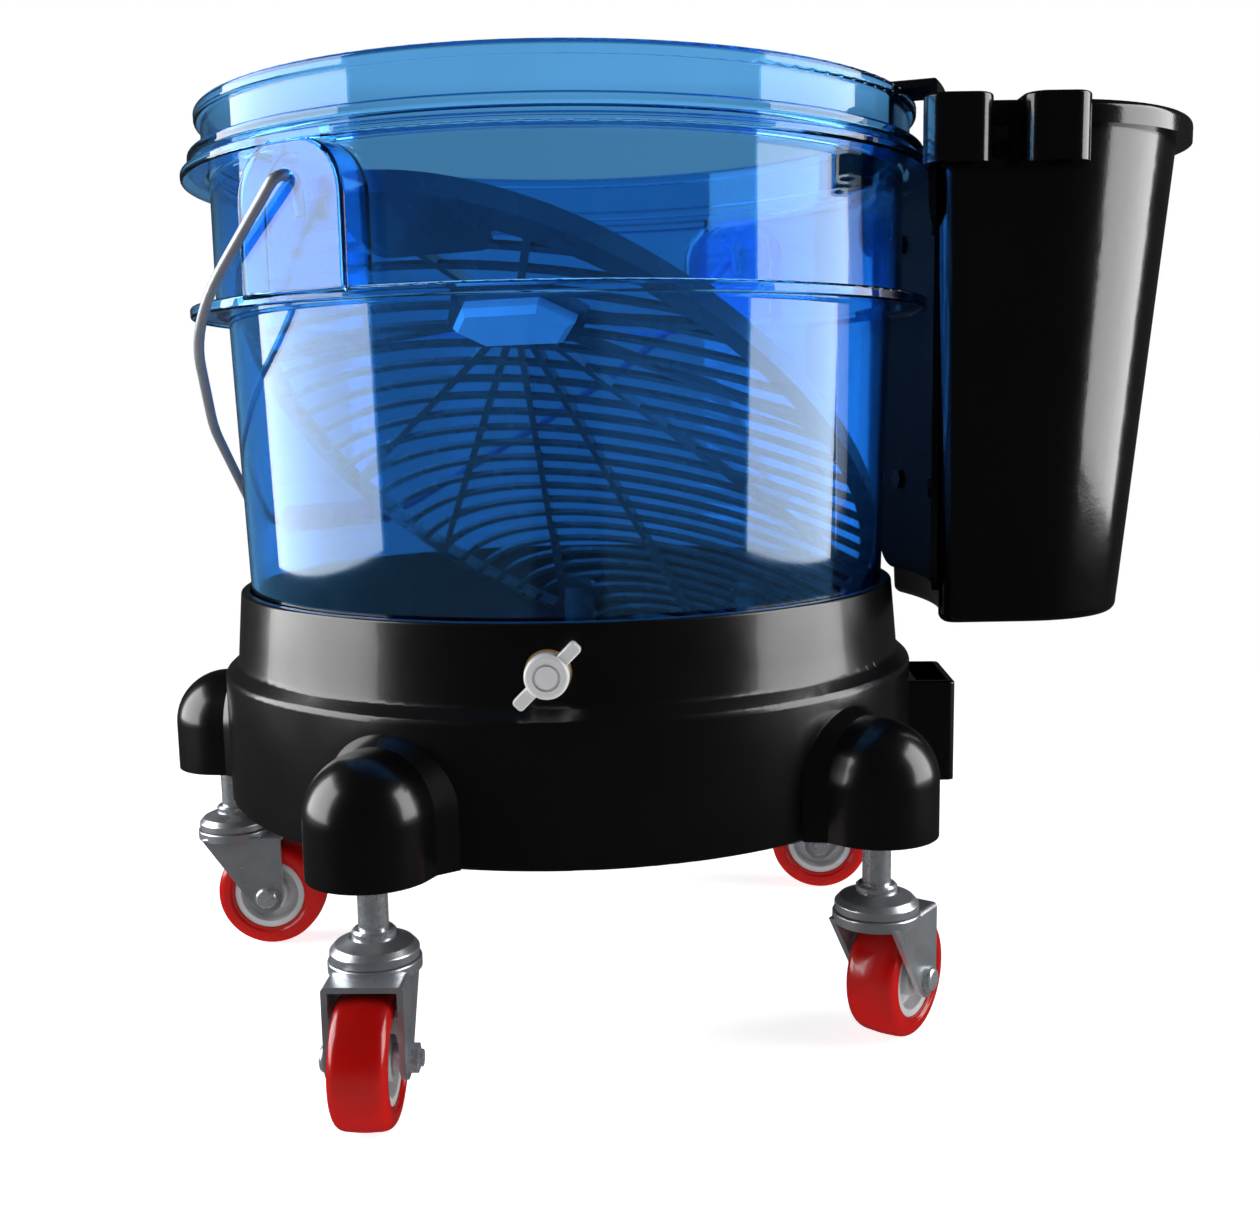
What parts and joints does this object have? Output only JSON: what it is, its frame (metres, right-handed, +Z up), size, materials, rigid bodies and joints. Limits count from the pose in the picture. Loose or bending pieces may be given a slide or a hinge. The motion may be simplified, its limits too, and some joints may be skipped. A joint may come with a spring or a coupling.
{
  "type": "car wash bucket",
  "caption": "Translucent wash pail with a bail and a sloping wash screen, clamped into a round castor dolly, with a hang-on side caddy and tool rack.",
  "frame": {"origin": "on the dolly's vertical axis, on the floor plane under its wheels", "axes": "+Z up, +X towards the side caddy, -Y towards the front with the clamp screw"},
  "size_m": [0.4551, 0.3902, 0.3753],
  "materials": {
    "pail_blue": "clear tinted blue, glossy",
    "dolly_black": "glossy moulded",
    "caddy_black": "glossy moulded",
    "screen_black": "satin moulded",
    "badge_grey": "satin",
    "bright_steel": "bright plated",
    "plated_steel": "zinc plated",
    "insert_brass": "turned",
    "sleeve_plastic": "moulded",
    "hub_grey": "moulded",
    "tyre_red": "smooth glossy",
    "knob_white": "glossy moulded",
    "grip_blue": "moulded"
  },
  "bodies": {
    "dolly": {"dolly_shell": "dolly_black", "stem_sleeve_1": "sleeve_plastic", "stem_sleeve_2": "sleeve_plastic", "stem_sleeve_3": "sleeve_plastic", "stem_sleeve_4": "sleeve_plastic", "stem_sleeve_5": "sleeve_plastic", "castor_stem_1": "plated_steel", "castor_stem_2": "plated_steel", "castor_stem_3": "plated_steel", "castor_stem_4": "plated_steel", "castor_stem_5": "plated_steel", "race_cap_1": "bright_steel", "race_cap_2": "bright_steel", "race_cap_3": "bright_steel", "race_cap_4": "bright_steel", "race_cap_5": "bright_steel", "race_balls": "bright_steel", "clamp_bush": "insert_brass"},
    "swivel_1": {"castor_fork_1": "bright_steel", "castor_axle_1": "plated_steel"},
    "wheel_1": {"wheel_bush_1": "plated_steel", "wheel_hub_1": "hub_grey", "wheel_tyre_1": "tyre_red"},
    "swivel_2": {"castor_fork_2": "bright_steel", "castor_axle_2": "plated_steel"},
    "wheel_2": {"wheel_bush_2": "plated_steel", "wheel_hub_2": "hub_grey", "wheel_tyre_2": "tyre_red"},
    "swivel_3": {"castor_fork_3": "bright_steel", "castor_axle_3": "plated_steel"},
    "wheel_3": {"wheel_bush_3": "plated_steel", "wheel_hub_3": "hub_grey", "wheel_tyre_3": "tyre_red"},
    "swivel_4": {"castor_fork_4": "bright_steel", "castor_axle_4": "plated_steel"},
    "wheel_4": {"wheel_bush_4": "plated_steel", "wheel_hub_4": "hub_grey", "wheel_tyre_4": "tyre_red"},
    "swivel_5": {"castor_fork_5": "bright_steel", "castor_axle_5": "plated_steel"},
    "wheel_5": {"wheel_bush_5": "plated_steel", "wheel_hub_5": "hub_grey", "wheel_tyre_5": "tyre_red"},
    "clamp_nose": {"clamp_tip": "bright_steel"},
    "clamp_screw": {"clamp_stud": "plated_steel", "clamp_knob": "knob_white"},
    "pail": {"pail_shell": "pail_blue"},
    "bail": {"bail_wire": "bright_steel"},
    "grip": {"bail_grip": "grip_blue"},
    "screen": {"wash_screen": "screen_black", "screen_badge": "badge_grey"},
    "caddy": {"caddy_hanger": "caddy_black", "caddy_tub": "caddy_black", "tool_rack": "caddy_black", "caddy_screws": "bright_steel", "caddy_nuts": "bright_steel", "rack_screws": "plated_steel"}
  },
  "joints": [
    {"name": "swivel_turn_1", "type": "hinge", "parent": "dolly", "child": "swivel_1", "pos_m": [-0.07334, -0.14646, 0.0531], "axis": [0, 0, 1], "continuous": true},
    {"name": "wheel_spin_1", "type": "hinge", "parent": "swivel_1", "child": "wheel_1", "pos_m": [-0.07453, -0.16342, 0.025], "axis": [0.9976, -0.0698, 0], "continuous": true},
    {"name": "swivel_turn_2", "type": "hinge", "parent": "dolly", "child": "swivel_2", "pos_m": [0.11663, -0.11501, 0.0531], "axis": [0, 0, 1], "continuous": true},
    {"name": "wheel_spin_2", "type": "hinge", "parent": "swivel_2", "child": "wheel_2", "pos_m": [0.12733, -0.1018, 0.025], "axis": [-0.7771, 0.6293, 0], "continuous": true},
    {"name": "swivel_turn_3", "type": "hinge", "parent": "dolly", "child": "swivel_3", "pos_m": [0.14542, 0.07538, 0.0531], "axis": [0, 0, 1], "continuous": true},
    {"name": "wheel_spin_3", "type": "hinge", "parent": "swivel_3", "child": "wheel_3", "pos_m": [0.12868, 0.07833, 0.025], "axis": [-0.1736, -0.9848, 0], "continuous": true},
    {"name": "swivel_turn_4", "type": "hinge", "parent": "dolly", "child": "swivel_4", "pos_m": [-0.02675, 0.1616, 0.0531], "axis": [0, 0, 1], "continuous": true},
    {"name": "wheel_spin_4", "type": "hinge", "parent": "swivel_4", "child": "wheel_4", "pos_m": [-0.01825, 0.17632, 0.025], "axis": [-0.866, 0.5, 0], "continuous": true},
    {"name": "swivel_turn_5", "type": "hinge", "parent": "dolly", "child": "swivel_5", "pos_m": [-0.16196, 0.02449, 0.0531], "axis": [0, 0, 1], "continuous": true},
    {"name": "wheel_spin_5", "type": "hinge", "parent": "swivel_5", "child": "wheel_5", "pos_m": [-0.14498, 0.0236, 0.025], "axis": [0.0523, 0.9986, 0], "continuous": true},
    {"name": "clamp_travel", "type": "slide", "parent": "dolly", "child": "clamp_nose", "axis": [-0.0558, -0.9984, 0], "range_m": [0, 0.006]},
    {"name": "clamp_turn", "type": "hinge", "parent": "clamp_nose", "child": "clamp_screw", "pos_m": [-0.00809, -0.14477, 0.1586], "axis": [-0.0558, -0.9984, 0], "range_deg": [0, 1080]},
    {"name": "pail_lift", "type": "slide", "parent": "dolly", "child": "pail", "axis": [0, 0, 1], "range_m": [0, 0.12]},
    {"name": "bail_swing", "type": "hinge", "parent": "pail", "child": "bail", "pos_m": [0, 0, 0.333], "axis": [0.6018, 0.7986, 0], "range_deg": [0, 132]},
    {"name": "grip_spin", "type": "hinge", "parent": "bail", "child": "grip", "pos_m": [-0.11871, 0.08946, 0.19916], "axis": [0.6018, 0.7986, 0], "continuous": true},
    {"name": "screen_lift", "type": "slide", "parent": "pail", "child": "screen", "axis": [0, 0, 1], "range_m": [0, 0.08]},
    {"name": "caddy_lift", "type": "slide", "parent": "pail", "child": "caddy", "axis": [0, 0, 1], "range_m": [0, 0.12]}
  ],
  "couplings": [
    {"joint": "clamp_travel", "follows": "clamp_turn", "m_per_rad": 0.00031831}
  ]
}
